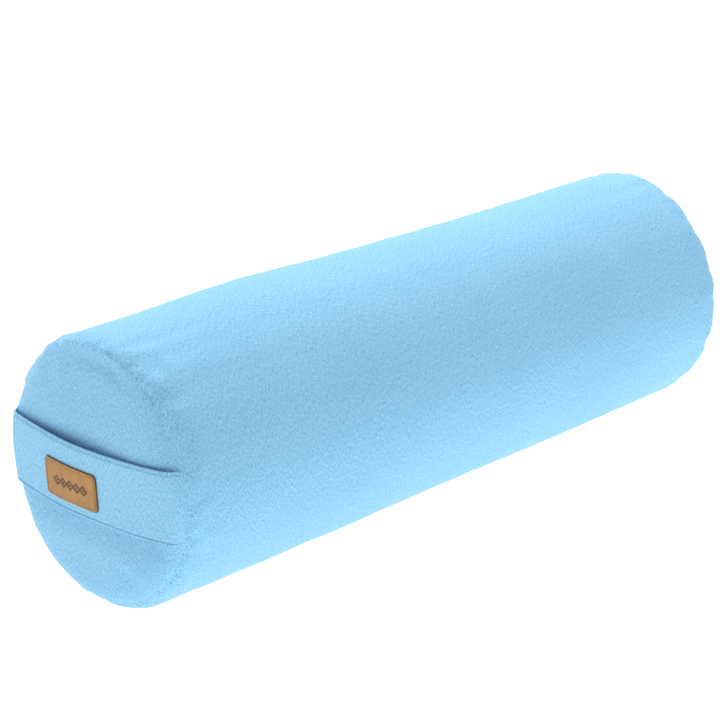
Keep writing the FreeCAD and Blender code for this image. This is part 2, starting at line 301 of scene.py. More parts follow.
def tanned_leather():
    """Tan leather whose cut edge and stamped ornament are darker, as the mesh's own marks say."""
    paint = Paint("patch_leather")
    place = paint.object_place()
    burnish = paint.add("ShaderNodeAttribute", attribute_name="burnish").outputs["Fac"]
    stamp = paint.add("ShaderNodeAttribute", attribute_name="stamp").outputs["Fac"]
    cloud = paint.noise(paint.scaled(place, 95.0, 95.0, 95.0), detail=4.0, rough=0.6)
    grain = paint.add(
        "ShaderNodeTexVoronoi", {"Vector": place, "Scale": 2100.0}, feature="DISTANCE_TO_EDGE"
    ).outputs["Distance"]
    pore = paint.noise(paint.scaled(place, 1500.0, 1500.0, 1500.0), detail=3.0, rough=0.65)
    tone = paint.mix(paint.spread(cloud, 0.3, 0.7), rgb(0.335, 0.153, 0.031), rgb(0.47, 0.237, 0.053))
    tone = paint.mix(paint.spread(pore, 0.52, 0.75, 0.0, 0.35), tone, rgb(0.25, 0.120, 0.048))
    tone = paint.mix(paint.math("MULTIPLY", burnish, 0.85), tone, rgb(0.085, 0.037, 0.016))
    tone = paint.mix(paint.math("MULTIPLY", stamp, 0.95), tone, rgb(0.070, 0.027, 0.009))
    lift = paint.bump(paint.spread(grain, 0.0, 0.18), 0.00006, 0.5)
    lift = paint.bump(pore, 0.00005, 0.5, under=lift)
    rough = paint.math("MULTIPLY_ADD", burnish, -0.14, paint.spread(cloud, 0.3, 0.7, 0.46, 0.60))
    return paint.finish(Base_Color=tone, Roughness=rough, Normal=lift, Specular_IOR_Level=0.45)


def plated_metal():
    paint = Paint("zip_metal")
    place = paint.object_place()
    brushed = paint.noise(paint.scaled(place, 120.0, 2400.0, 2400.0), detail=2.0)
    dull = paint.noise(paint.scaled(place, 260.0, 260.0, 260.0), detail=3.0, rough=0.6)
    tone = paint.mix(paint.spread(dull, 0.35, 0.7), rgb(0.62, 0.61, 0.59), rgb(0.78, 0.77, 0.74))
    gloss = paint.spread(brushed, 0.3, 0.7, 0.20, 0.34)
    rough = paint.math("ADD", gloss, paint.spread(dull, 0.3, 0.7, 0, 0.08))
    return paint.finish(
        Base_Color=tone, Metallic=1.0, Roughness=rough, Normal=paint.bump(brushed, 0.00001, 0.4),
    )


def dyed_nylon():
    paint = Paint("zip_coil")
    place = paint.object_place()
    cloud = paint.noise(paint.scaled(place, 700.0, 700.0, 700.0), detail=2.0)
    tone = paint.mix(paint.spread(cloud, 0.35, 0.65), rgb(0.16, 0.44, 0.66), rgb(0.24, 0.54, 0.74))
    return paint.finish(
        Base_Color=tone, Roughness=paint.spread(cloud, 0.3, 0.7, 0.30, 0.42),
        Normal=paint.bump(cloud, 0.00003), Specular_IOR_Level=0.5,
    )


def zip_tape_cloth():
    """Herringbone tape: slanting ribs that change direction every few yarns."""
    paint = Paint("zip_tape")
    place = paint.object_place()
    apart = paint.add("ShaderNodeSeparateXYZ", {0: place}).outputs
    fold = paint.math("PINGPONG", paint.math("MULTIPLY", apart[2], 900.0), 1.0)
    slant = paint.math("ADD", paint.math("MULTIPLY", apart[0], 1500.0), fold)
    rib = paint.math("PINGPONG", slant, 0.5)
    fuzz = paint.noise(paint.scaled(place, 900.0, 900.0, 900.0), detail=2.0)
    tone = paint.mix(paint.spread(rib, 0.0, 0.5), rgb(0.15, 0.42, 0.63), rgb(0.26, 0.57, 0.79))
    tone = paint.mix(paint.spread(fuzz, 0.5, 0.75, 0.0, 0.3), tone, rgb(0.42, 0.70, 0.86))
    return paint.finish(
        Base_Color=tone, Roughness=paint.spread(fuzz, 0.3, 0.7, 0.72, 0.88),
        Normal=paint.bump(rib, 0.00012, 0.7), Sheen_Weight=0.15,
    )


def woven_satin():
    paint = Paint("tab_satin")
    place = paint.cloth_place()
    down = paint.add("ShaderNodeSeparateXYZ", {0: place}).outputs[1]
    rib = paint.math("PINGPONG", paint.math("MULTIPLY", down, 3300.0), 0.5)
    fuzz = paint.noise(paint.scaled(place, 1200.0, 300.0, 600.0), detail=2.0)
    tone = paint.mix(paint.spread(fuzz, 0.35, 0.7), rgb(0.60, 0.60, 0.575), rgb(0.70, 0.70, 0.68))
    return paint.finish(
        Base_Color=tone, Roughness=paint.spread(fuzz, 0.3, 0.7, 0.38, 0.52),
        Normal=paint.bump(rib, 0.00006, 0.6), Sheen_Weight=0.2, Specular_IOR_Level=0.5,
    )


def buckwheat_husks():
    """A bed of small dark three-sided husks, with painted shade in the gaps between them."""
    paint = Paint("husks")
    place = paint.object_place()
    cells = paint.add("ShaderNodeTexVoronoi", {"Vector": place, "Scale": 230.0})
    shade = paint.noise(paint.scaled(place, 420.0, 420.0, 420.0), detail=3.0)
    # Darker from each husk's middle out to the gaps between husks: painted shade in the gaps.
    gap_shade = paint.spread(cells.outputs["Distance"], 0.1, 0.7)
    tone = paint.mix(gap_shade, rgb(0.12, 0.055, 0.028), rgb(0.028, 0.013, 0.008))
    tone = paint.mix(paint.spread(shade, 0.5, 0.75, 0.0, 0.5), tone, rgb(0.20, 0.105, 0.055))
    return paint.finish(
        Base_Color=tone, Roughness=paint.spread(shade, 0.3, 0.7, 0.45, 0.65),
        Normal=paint.bump(cells.outputs["Distance"], -0.0015, 0.9),
    )


cover_cotton = heathered_cotton(
    "cover_fabric", rgb(0.125, 0.385, 0.660), rgb(0.270, 0.600, 0.850), rgb(0.49, 0.79, 0.95)
)
strap_cotton = heathered_cotton(
    "strap_fabric", rgb(0.135, 0.400, 0.670), rgb(0.280, 0.610, 0.855), rgb(0.50, 0.795, 0.95)
)
liner_cotton = heathered_cotton(
    "liner_cotton", rgb(0.66, 0.61, 0.50), rgb(0.74, 0.69, 0.58), rgb(0.82, 0.78, 0.68), on_map=False
)
blue_thread = twisted_thread("blue_thread", rgb(0.10, 0.29, 0.47), rgb(0.19, 0.45, 0.65))
brown_thread = twisted_thread("brown_thread", rgb(0.11, 0.048, 0.020), rgb(0.27, 0.135, 0.062))
liner_thread = twisted_thread("liner_thread", rgb(0.60, 0.56, 0.46), rgb(0.78, 0.74, 0.65))
patch_leather = tanned_leather()
zip_metal = plated_metal()
zip_nylon = dyed_nylon()
zip_tape = zip_tape_cloth()
tab_satin = woven_satin()
husks = buckwheat_husks()


# ================= the bolster's outline =================


def shoulder_arc():
    """Centre (x, r) of the arc that rounds the tube into the seam, and its angle at the seam."""
    rise = RADIUS - SHOULDER_RADIUS
    run = math.sqrt(SHOULDER_RADIUS**2 - (SEAM_RADIUS - rise) ** 2)
    return (SEAM_X - run, rise), math.atan2(SEAM_RADIUS - rise, run)


def edge_arc():
    """Centre (x, r) and radius of the arc between an end panel's flat middle and the seam."""
    centre_x = APEX_X - CROWN_RADIUS
    slope = math.asin(CROWN_REACH / CROWN_RADIUS)
    dx = SEAM_X - centre_x - CROWN_RADIUS * math.cos(slope)
    dr = SEAM_RADIUS - CROWN_REACH
    radius = -(dx * dx + dr * dr) / (2 * (dx * math.cos(slope) + dr * math.sin(slope)))
    return (SEAM_X - dx - radius * math.cos(slope), CROWN_REACH - radius * math.sin(slope)), radius


def panel_x(r):
    """How far along X an end panel stands at each distance from the axis."""
    (edge_x, edge_r), radius = edge_arc()
    crown = APEX_X - CROWN_RADIUS + np.sqrt(CROWN_RADIUS**2 - np.minimum(r, CROWN_REACH) ** 2)
    edge = edge_x + np.sqrt(np.maximum(radius**2 - (np.maximum(r, CROWN_REACH) - edge_r) ** 2, 0.0))
    return np.where(r < CROWN_REACH, crown, edge)


def tube_outline():
    """Points (x, r) of the tube from seam to seam."""
    (centre_x, centre_r), at_seam = shoulder_arc()
    turns = np.linspace(at_seam, math.pi / 2, SHOULDER_ROWS + 1)[:-1]
    right = [
        (centre_x + SHOULDER_RADIUS * math.cos(a), centre_r + SHOULDER_RADIUS * math.sin(a)) for a in turns
    ]
    straight = [(x, RADIUS) for x in np.linspace(-centre_x, centre_x, ROWS + 1)]
    return np.array([(-x, r) for x, r in right] + straight + right[::-1])


def round_axis(x, r, angle):
    """Points at an angle round the axis, measured from +Y towards +Z."""
    return np.stack([x + 0 * angle, r * np.cos(angle), AXIS_Z + r * np.sin(angle)], -1)


def axis_places(points):
    """Distance from the axis, angle round it, and distance round the tube from the zip's mid-line."""
    y, z = points[:, 1], points[:, 2] - AXIS_Z
    angle = np.arctan2(z, y)
    from_zip = (angle - ZIP_ANGLE + math.pi) % (2 * math.pi) - math.pi
    return np.hypot(y, z), angle, from_zip * RADIUS


def degrees_round(points):
    """Angle round the axis in degrees, 0 to 360."""
    return np.degrees(axis_places(points)[1]) % 360


# ================= cover =================


def build_form():
    """Closed form of tube and end panels as one grid. Material index 0 is tube, 1 front and 2 rear."""
    outline = tube_outline()
    step = 2 * math.pi / COLUMNS
    angles = ZIP_ANGLE + step * np.arange(COLUMNS)
    points = [round_axis(x, r, angles) for x, r in outline]
    last = len(outline) - 1
    faces, kinds = [], []
    for row in range(last):
        for n in range(COLUMNS):
            a, b = row * COLUMNS + n, row * COLUMNS + (n + 1) % COLUMNS
            faces.append((a, b, b + COLUMNS, a + COLUMNS))
            kinds.append(0)
    side = COLUMNS // 4
    total = (last + 1) * COLUMNS
    for kind, end, ring in ((1, -1, 0), (2, 1, last)):
        index = {}
        inner = []
        for i in range(side + 1):
            for j in range(side + 1):
                a, b = 2 * i / side - 1, 2 * j / side - 1
                reach = max(abs(a), abs(b))
                if reach == 0:
                    turn = 0.0
                elif abs(a) >= abs(b):
                    turn = math.pi / 4 * b / a + (math.pi if a < 0 else 0.0)
                else:
                    turn = math.pi / 2 - math.pi / 4 * a / b + (math.pi if b < 0 else 0.0)
                if reach > 1 - 1e-9:
                    index[i, j] = ring * COLUMNS + round(turn / step) % COLUMNS
                else:
                    index[i, j] = total + len(inner)
                    inner.append((reach * SEAM_RADIUS, ZIP_ANGLE + turn))
        r, turn = np.array(inner).T
        points.append(round_axis(end * panel_x(r), r, turn))
        total += len(inner)
        for i in range(side):
            for j in range(side):
                faces.append((index[i, j], index[i + 1, j], index[i + 1, j + 1], index[i, j + 1]))
                kinds.append(kind)
    form = mesh_piece("cover_form", np.concatenate(points), faces)
    form.data.polygons.foreach_set("material_index", kinds)
    outward(form)
    return form


def seam_distance(points):
    """Distance from the nearer end seam, across the cloth."""
    r = axis_places(points)[0]
    return np.hypot(np.abs(points[:, 0]) - SEAM_X, r - SEAM_RADIUS)


GATHERS = (  # end, angle round the axis in degrees, spread in degrees, strength
    (-1, 128.0, 24.0, 1.0),
    (-1, 102.0, 14.0, 0.9),
    (-1, 175.0, 22.0, 0.45),
    (-1, 205.0, 40.0, 0.35),
    (-1, 250.0, 20.0, 0.3),
    (-1, 60.0, 30.0, 0.5),
    (1, 105.0, 30.0, 0.8),
    (1, 190.0, 35.0, 0.5),
    (1, 20.0, 40.0, 0.5),
)
LEAST_GATHER = 0.12
CLOTH_FRAMES = 20
FOLD_LIMIT = 0.0016  # the folds never move the cloth further than this from the real outline
PANEL_SWELL = 0.0022  # what pressure alone adds to the middle of an end panel, taken off again


def gathered(points):
    """How gathered the cloth is at each point, from 0 to 1, by its angle at the nearer end."""
    turn = degrees_round(points)
    share = np.full(len(points), LEAST_GATHER)
    for end, angle, spread, strength in GATHERS:
        away = (turn - angle + 180) % 360 - 180
        pulled = np.maximum(share, strength * bell(away, spread))
        share = np.where(np.sign(points[:, 0]) == end, pulled, share)
    return share


def fill_with_pressure(form):
    """Cloth under pressure: the cloth is cut a little large next to the seams, so it gathers there."""
    start = points_of(form.data)
    from_seam = seam_distance(start)
    slack = form.vertex_groups.new(name="slack")
    held = form.vertex_groups.new(name="held")
    ease = bell(from_seam, 0.030) * (0.35 + 0.65 * gathered(start))
    for n, (weight, away) in enumerate(zip(ease, from_seam)):
        slack.add([n], 1.0 - float(weight), "REPLACE")
        if away < 0.0005:
            held.add([n], 1.0, "REPLACE")
    shaken = start + normals_of(form.data) * (ripple(start, 0.022, seed=3.0) * 0.0005)[:, None]
    move_points(form.data, shaken)
    cloth = form.modifiers.new("Cloth", "CLOTH")
    settings = cloth.settings
    settings.quality = 6
    settings.mass = 0.2
    settings.tension_stiffness = settings.compression_stiffness = 20.0
    settings.shear_stiffness = 8.0
    settings.bending_stiffness = 0.15
    settings.use_pressure = True
    settings.uniform_pressure_force = 4.0
    settings.vertex_group_mass = "held"
    settings.vertex_group_shrink = "slack"
    settings.shrink_min = -0.055  # below nothing, so the cloth is larger
    settings.shrink_max = 0.0
    settings.effector_weights.gravity = 0.0
    cloth.collision_settings.use_collision = False
    for n in range(1, CLOTH_FRAMES + 1):
        bpy.context.scene.frame_set(n)
    shown = form.evaluated_get(bpy.context.evaluated_depsgraph_get())
    filled = points_of(shown.data)
    form.modifiers.remove(cloth)
    bpy.context.scene.frame_set(1)
    return start, filled


def keep_folds(form, start, filled):
    """Keeps the folds that the pressure made, and holds the swelling back to the real size."""
    normal = normals_of(form.data)
    swell = ((filled - start) * normal).sum(1)
    slide = filled - start - normal * swell[:, None]
    r = axis_places(start)[0]
    tube = np.abs(start[:, 0]) <= SEAM_X + 1e-6
    ring = np.round(start[:, 0], 6)
    calm = swell.copy()
    for place in np.unique(ring[tube]):
        row = tube & (ring == place)
        calm[row] -= swell[row].mean()
    calm[~tube] = (swell - PANEL_SWELL * (1 - (r / SEAM_RADIUS) ** 2))[~tube] * 0.5
    calm = FOLD_LIMIT * np.tanh(calm / FOLD_LIMIT)
    move_points(form.data, start + normal * calm[:, None] + slide * 0.5)


DEEPEST = LINER_DEPTH - 0.0006  # the cover stays clear of the liner
SLUMP = 0.0050  # how far the filling's weight pushes the foot of the front end out
CREST_ANGLE, CREST_SPREAD = 90, 34  # degrees round each end seam where it stands up as a crest
CREST_OUT, CREST_UP = 0.0040, 0.0028  # how far the crest stands out along X, and away from the axis
FULL_RISE, FULL_X, FULL_LENGTH = 0.0042, -0.15, 0.10  # the top of the tube is fullest here
FULL_ANGLE, FULL_SPREAD = 75, 42


def depth_inside(points, tube):
    """How far each point lies below the outline that the CAD gives the cover."""
    r = axis_places(points)[0]
    x = np.abs(points[:, 0])
    (centre_x, centre_r), _ = shoulder_arc()
    (edge_x, edge_r), edge_radius = edge_arc()
    on_tube = np.where(x < centre_x, RADIUS - r, SHOULDER_RADIUS - np.hypot(x - centre_x, r - centre_r))
    on_edge = edge_radius - np.hypot(x - edge_x, r - edge_r)
    on_crown = CROWN_RADIUS - np.hypot(x - (APEX_X - CROWN_RADIUS), r)
    return np.where(tube, on_tube, np.where(r > CROWN_REACH, on_edge, on_crown))


def slump(height):
    """How much further out the filling's weight pushes the front end, at a height above the floor."""
    return SLUMP * smooth_step((AXIS_Z - 0.012 - height) / 0.070)


def strap_print(points, tube):
    """The strap presses the front panel in, and the panel swells above and below it."""
    sag = STRAP_SAG * (1 - (points[:, 1] / SEAM_RADIUS) ** 2)
    up = np.abs(points[:, 2] - AXIS_Z - STRAP_RISE + sag)
    half = STRAP_WIDTH / 2
    dent = -0.0012 * smooth_step((half - 0.001 - up) / 0.008)
    swell = 0.0016 * bell(up - half - 0.019, 0.013)
    across = smooth_step((SEAM_RADIUS - 0.004 - np.abs(points[:, 1])) / 0.03)
    return np.where(tube | (points[:, 0] > 0), 0.0, (dent + swell) * across)


def husk_lumps(points):
    """The filling shows through the cloth as fine and broad lumps."""
    return 0.0004 * ripple(points, 0.045, seed=1.0) + 0.0011 * ripple(points, 0.16, 0.09, seed=2.0)


def seam_puckers(points, away, tube):
    """Creases and folds that run away from the end seams, deepest where the cloth is gathered."""
    turn = axis_places(points)[1]
    from_seam = np.sign(points[:, 0]) * away * 0.16
    unrolled = np.stack([from_seam, np.cos(turn) * RADIUS, np.sin(turn) * RADIUS], 1)
    crease = ripple(unrolled, 0.0075, seed=4.0)
    crease = np.where(crease > 0, crease, crease * 0.6) + 0.35 * ripple(unrolled, 0.004, seed=5.0)
    reach = np.where(tube, 0.030, 0.013)
    pucker = 0.0008 * crease * np.exp(-away / reach) * (0.3 + 1.1 * gathered(points))
    fold = ripple(unrolled * (0.35, 1.0, 1.0), 0.013, seed=6.0) * smooth_step(away / 0.012)
    return pucker + 0.0034 * fold * np.where(tube, np.exp(-away / 0.055), 0.0) * gathered(points)


def seam_valley(points, away, tube, crest):
    """The valley that each end seam's stitching pulls in, and the crest in its place at the top."""
    narrow = 0.0009 + 0.0008 * bell(degrees_round(points) - 128, 16)
    valley = (-narrow * bell(away, 0.0022) - 0.0011 * bell(away, 0.012)) * (1 - 0.9 * crest)
    shoulder = 0.0004 * bell(away - 0.006, 0.008)
    gap_shade = -0.0024 * bell(away - 0.011, 0.007)
    return valley + crest * np.where(tube, shoulder, gap_shade)


def settle_on_floor(points):
    """Lays the underside flat on the floor, with a soft turn up from it."""
    soft = 0.0022
    height = points[:, 2].copy()
    height = np.where(height < 4 * soft, soft * np.logaddexp(height / soft, 0.0), height)
    height -= soft * math.log(2) * bell(np.maximum(height, 0.0), 0.006)
    points[:, 2] = np.maximum(height, 0.0)


def dress(mesh):
    """Shapes the surface of the filled cover: lumps, puckers, seams, the strap's print and the floor."""
    start = points_of(mesh)
    normal = normals_of(mesh)
    _, turn, from_zip = axis_places(start)
    away = seam_distance(start)
    x = start[:, 0]
    tube = np.abs(x) < SEAM_X
    crest = bell(degrees_round(start) - CREST_ANGLE, CREST_SPREAD)
    calm_zip = np.where(tube, smooth_step((np.abs(from_zip) - 0.014) / 0.03), 1.0)
    at_strap = smooth_step((STRAP_WIDTH / 2 + 0.009 - np.abs(start[:, 2] - AXIS_Z - STRAP_RISE)) / 0.010)
    level = 1 - 0.8 * np.where(x < 0, at_strap, 0.0)

    valley = seam_valley(start, away, tube, crest) * level
    pucker = seam_puckers(start, away, tube) * level
    past_zip = smooth_step((np.abs(x) - ZIP_HALF - 0.004) / 0.006)
    sewn = -0.0014 * bell(from_zip, 0.0022) * np.where(tube, past_zip, 0.0)
    pressed = strap_print(start, tube) * smooth_step(away / 0.022)
    lumps = husk_lumps(start) * smooth_step(away / 0.02)
    move = (lumps + pucker) * calm_zip + valley + sewn + pressed
    points = start + normal * move[:, None]
    points += normal * np.maximum(depth_inside(points, tube) - DEEPEST, 0.0)[:, None]

    points[:, 0] += np.sign(x) * CREST_OUT * crest * bell(away, np.where(tube, 0.011, 0.0045))
    raised = CREST_UP * crest * bell(away, np.where(tube, 0.012, 0.006))
    points[:, 1] += np.cos(turn) * raised
    points[:, 2] += np.sin(turn) * raised
    full = FULL_RISE * bell(x - FULL_X, FULL_LENGTH) * bell(degrees_round(start) - FULL_ANGLE, FULL_SPREAD)
    points += normal * (full * tube)[:, None]
    points[:, 0] -= slump(points[:, 2]) * smooth_step((-x - 0.26) / 0.07)
    settle_on_floor(points)
    move_points(mesh, points)


def split_off(form, kind, name):
    """One sewn panel of the form, as its own piece."""
    mesh = form.data.copy()
    panel = bmesh.new()
    panel.from_mesh(mesh)
    bmesh.ops.delete(panel, geom=[f for f in panel.faces if f.material_index != kind], context="FACES")
    for face in panel.faces:
        face.material_index = 0
    panel.to_mesh(mesh)
    panel.free()
    mesh.materials.clear()
    mesh.materials.append(cover_cotton)
    mesh.shade_smooth()
    mesh.name = name
    return link(bpy.data.objects.new(name, mesh))


def turn_edge_in(piece, steps):
    """Turns a piece's open end edges in towards the axis, as a seam allowance inside the cover."""
    panel = bmesh.new()
    panel.from_mesh(piece.data)
    for inward, along in steps:
        rim = [
            edge
            for edge in panel.edges
            if edge.is_boundary and all(abs(abs(vert.co.x) - SEAM_X) < 0.006 for vert in edge.verts)
        ]
        for edge in rim:
            edge.smooth = False
        made = bmesh.ops.extrude_edge_only(panel, edges=rim)["geom"]
        for vert in (v for v in made if isinstance(v, bmesh.types.BMVert)):
            centre = Vector((vert.co.x, 0.0, AXIS_Z))
            vert.co += (centre - vert.co).normalized() * inward
            vert.co.x += along * math.copysign(1.0, vert.co.x)
    bmesh.ops.recalc_face_normals(panel, faces=panel.faces)
    panel.to_mesh(piece.data)
    panel.free()


def cut_slit(piece):
    """Opens the zip's slit in the tube and folds its edges under."""
    points = points_of(piece.data)
    r, _, v = axis_places(points)
    spacing = 2 * math.pi * RADIUS / COLUMNS
    pull = (SLIT_HALF - spacing) * np.sign(v) * (1 - smooth_step((np.abs(v) - spacing) / 0.014))
    pull *= (np.abs(v) > spacing * 0.75) * (1 - smooth_step((np.abs(points[:, 0]) - ZIP_HALF) / 0.008))
    moved = round_axis(points[:, 0], r, ZIP_ANGLE + (v + pull) / RADIUS)
    near = np.abs(v) < 0.03
    points[near] = moved[near]
    move_points(piece.data, points)
    tube = bmesh.new()
    tube.from_mesh(piece.data)
    inside = []
    for face in tube.faces:
        centre = np.array([face.calc_center_median()])
        if abs(centre[0, 0]) < ZIP_HALF and abs(axis_places(centre)[2][0]) < SLIT_HALF - 0.0003:
            inside.append(face)
    bmesh.ops.delete(tube, geom=inside, context="FACES")
    edges = [e for e in tube.edges if e.is_boundary and abs(e.verts[0].co.x) < ZIP_HALF + 0.004]
    hem = ((-0.0004, -0.0004), (0.0002, -0.0005), (0.0060, -0.0002))
    for outwards, drop in hem:
        made = bmesh.ops.extrude_edge_only(tube, edges=edges)["geom"]
        for vert in (g for g in made if isinstance(g, bmesh.types.BMVert)):
            place = np.array([vert.co[:]])
            radius, turn, across = (value[0] for value in axis_places(place))
            side = math.copysign(1.0, across) if abs(across) > SLIT_HALF * 0.6 else 0.0
            end = math.copysign(1.0, vert.co.x) if abs(vert.co.x) > ZIP_HALF - 0.0015 else 0.0
            angle = np.array(turn + side * outwards / RADIUS)
            vert.co = Vector(round_axis(vert.co.x + end * outwards, radius + drop, angle))
        edges = [g for g in made if isinstance(g, bmesh.types.BMEdge) and g.is_boundary]
    bmesh.ops.recalc_face_normals(tube, faces=tube.faces)
    tube.to_mesh(piece.data)
    tube.free()


def map_round_tube(piece):
    """Cloth map of the tube: along it, and round it from the lengthwise seam."""
    mesh = piece.data
    at = corner_points(mesh)
    points = points_of(mesh)
    _, turn, _ = axis_places(points)
    face = np.repeat(np.arange(len(mesh.polygons)), [p.loop_total for p in mesh.polygons])
    first = at[[p.loop_start for p in mesh.polygons]][face]
    base = (turn[first] - ZIP_ANGLE) % (2 * math.pi)
    step = (turn[at] - turn[first] + math.pi) % (2 * math.pi) - math.pi
    cloth_map(mesh, points[at, 0], (base + step) * RADIUS)


def map_flat(piece):
    """Cloth map of an end panel: across it and up it."""
    at = corner_points(piece.data)
    points = points_of(piece.data)
    cloth_map(piece.data, points[at, 1], points[at, 2])


def make_cover():
    """Tube and two end panels, filled, dressed, and parted along their seams."""
    form = build_form()
    keep_folds(form, *fill_with_pressure(form))
    subdivide = form.modifiers.new("Subdivision", "SUBSURF")
    subdivide.levels = subdivide.render_levels = 1
    apply_modifiers(form)
    dress(form.data)
    tube = split_off(form, 0, "cover_tube")
    front = split_off(form, 1, "cover_end_front")
    rear = split_off(form, 2, "cover_end_rear")
    bpy.data.objects.remove(form)
    cut_slit(tube)
    turn_edge_in(tube, ((0.0012, 0.0001), (0.0010, -0.0030)))
    for panel in (front, rear):
        turn_edge_in(panel, ((0.0012, -0.0001), (0.0008, -0.0022)))
        map_flat(panel)
    map_round_tube(tube)
    for piece, node in ((tube, "cover_body"), (front, "cover_front_panel"), (rear, "cover_rear_panel")):
        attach(piece, "cover")
        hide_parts(node)


# ================= strap and patch =================

STRAP_MID_GAP = 0.0028  # how far the strap's middle stands off the end panel, less than in the CAD
STRAP_SAG = 0.0046  # how far the strap's middle hangs below its sewn ends
STRAP_LEAN = 0.0008  # how much nearer the end panel the strap's lower edge hangs
STRAP_DIVE = 0.011  # length over which each end goes down into the seam
STRAP_END_R = SEAM_RADIUS - 0.0004


def strap_face_x(r):
    """How far out the strap's inner face stands at each distance from the axis."""
    (edge_x, edge_r), radius = edge_arc()
    small = radius + STRAP_SIDE_GAP
    apex = APEX_X + STRAP_MID_GAP
    reach = apex - small
    centre = (reach**2 - edge_x**2 - edge_r**2) / (2 * (reach - edge_x))
    large = apex - centre
    meet = math.atan2(edge_r, edge_x - centre)
    crown = centre + np.sqrt(np.maximum(large**2 - r**2, 0.0))
    edge = edge_x + np.sqrt(np.maximum(small**2 - (r - edge_r) ** 2, 0.0))
    return np.where(r < large * math.sin(meet), crown, edge)


def strap_base(along, up):
    """Inner face of the strap. along is -1 to 1 from end to end, up is metres above its mid-line."""
    z = STRAP_RISE + up
    y = along * np.sqrt(STRAP_END_R**2 - z**2)
    z = z - STRAP_SAG * (1 - along**2)
    r = np.hypot(y, z)
    drop = np.clip((STRAP_WIDTH / 2 - up) / STRAP_WIDTH, 0.0, 1.0)
    middle = np.clip(np.cos(along * math.pi / 2), 0.0, 1.0) ** 1.2
    wave = 0.0007 * np.sin(5.1 * along + 26.0 * up) * middle
    proud = 0.0020 * (1 - drop) ** 2 * smooth_step((1 - np.abs(along)) / 0.09)
    x = strap_face_x(r) - (STRAP_LEAN * drop**1.3 - wave) * middle + proud
    return np.stack([-x - slump(AXIS_Z + z), y, AXIS_Z + z], -1)


def strap_normal(along, up):
    """The way out of the strap's face, towards -X."""
    step = 1e-4
    a = strap_base(along + step, up) - strap_base(along - step, up)
    b = strap_base(along, up + step) - strap_base(along, up - step)
    n = np.cross(b, a)
    n /= np.linalg.norm(n, axis=-1, keepdims=True)
    return np.where(n[..., :1] > 0, -n, n)


def strap_point(along, up, lift):
    """A place on or above the strap. lift is metres above its inner face."""
    along, up, lift = np.broadcast_arrays(along, up, lift)
    from_end = (1 - np.abs(along)) * SEAM_RADIUS * 1.25
    dive = smooth_step(from_end / STRAP_DIVE)
    thin = 0.45 + 0.55 * dive
    sink = (1 - dive) * 0.0020
    return strap_base(along, up) + strap_normal(along, up) * (lift * thin - sink)[..., None]


def stitched_in(up, inset=STITCH_INSET):
    """Height of the strap's face, pulled down along its two rows of stitching."""
    row = STRAP_WIDTH / 2 - inset
    edge = STRAP_WIDTH / 2 - np.abs(up)
    pulled = 0.00075 * bell(np.abs(up) - row, 0.0007)
    piped = 0.00025 * bell(edge - 0.0012, 0.0009)
    return piped - pulled


def make_strap():
    """Doubled cotton band with a rounded section, its long edges folded and its ends in the seam."""
    half, thick = STRAP_WIDTH / 2, STRAP_CLOTH
    edge = thick / 2
    bend = np.linspace(-math.pi / 2, math.pi / 2, 7)[1:-1]
    flat = np.linspace(-half + edge, half - edge, 91)
    section = [(u, thick + float(stitched_in(u))) for u in flat]
    section += [(half - edge + edge * math.cos(a), edge + edge * math.sin(a)) for a in bend[::-1]]
    section += [(u, -float(stitched_in(u)) * 0.4) for u in flat[::-3]]
    section += [(-half + edge - edge * math.cos(a), edge + edge * math.sin(a)) for a in bend]
    up, lift = np.array(section).T
    rows = 190
    crowding = 1.42  # brings the rows closer together towards the sewn ends
    along = np.sin(np.linspace(-1, 1, rows) * crowding) / math.sin(crowding)
    grid = np.concatenate([strap_point(a, up, lift) for a in along])
    size = len(section)
    faces = [
        (n * size + k, n * size + (k + 1) % size, (n + 1) * size + (k + 1) % size, (n + 1) * size + k)
        for n in range(rows - 1)
        for k in range(size)
    ]
    faces += [tuple(range(size)), tuple(range((rows - 1) * size, rows * size))[::-1]]
    strap = mesh_piece("strap_band", grid, faces, strap_cotton)
    outward(strap)
    middle_line = grid[len(flat) // 2 :: size]
    lengths = np.concatenate([[0.0], np.cumsum(np.linalg.norm(np.diff(middle_line, axis=0), axis=1))])
    at = corner_points(strap.data)
    cloth_map(strap.data, lengths[at // size], up[at % size] + 0.4)
    return strap


def blend_strap(piece):
    """Bakes a piece's placement into its mesh."""
    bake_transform(piece)


def round_corners(a, b, length, height, corner):
    """Maps a square's (a, b), each -1 to 1, on to a rectangle with rounded corners."""
    y, z = a * length / 2, b * height / 2
    core_y, core_z = length / 2 - corner, height / 2 - corner
    out_y, out_z = np.maximum(np.abs(y) - core_y, 0), np.maximum(np.abs(z) - core_z, 0)
    share = np.maximum(out_y, out_z) / np.maximum(np.hypot(out_y, out_z), 1e-9)
    return (
        np.sign(y) * np.where(out_y > 0, core_y + out_y * share, np.abs(y)),
        np.sign(z) * np.where(out_z > 0, core_z + out_z * share, np.abs(z)),
    )


def thin_sheet_faces(across, down):
    """Faces of a closed sheet: a grid, the same grid under it, and the rim between the two."""
    cells = [
        (i * down + j, (i + 1) * down + j, (i + 1) * down + j + 1, i * down + j + 1)
        for i in range(across - 1)
        for j in range(down - 1)
    ]
    count = across * down
    rim = [i * down for i in range(across)] + [(across - 1) * down + j for j in range(1, down)]
    rim += [i * down + down - 1 for i in range(across - 2, -1, -1)] + list(range(down - 2, 0, -1))
    under = [tuple(count + k for k in f[::-1]) for f in cells]
    return cells + under + [(p, q, count + q, count + p) for p, q in zip(rim, rim[1:] + rim[:1])]


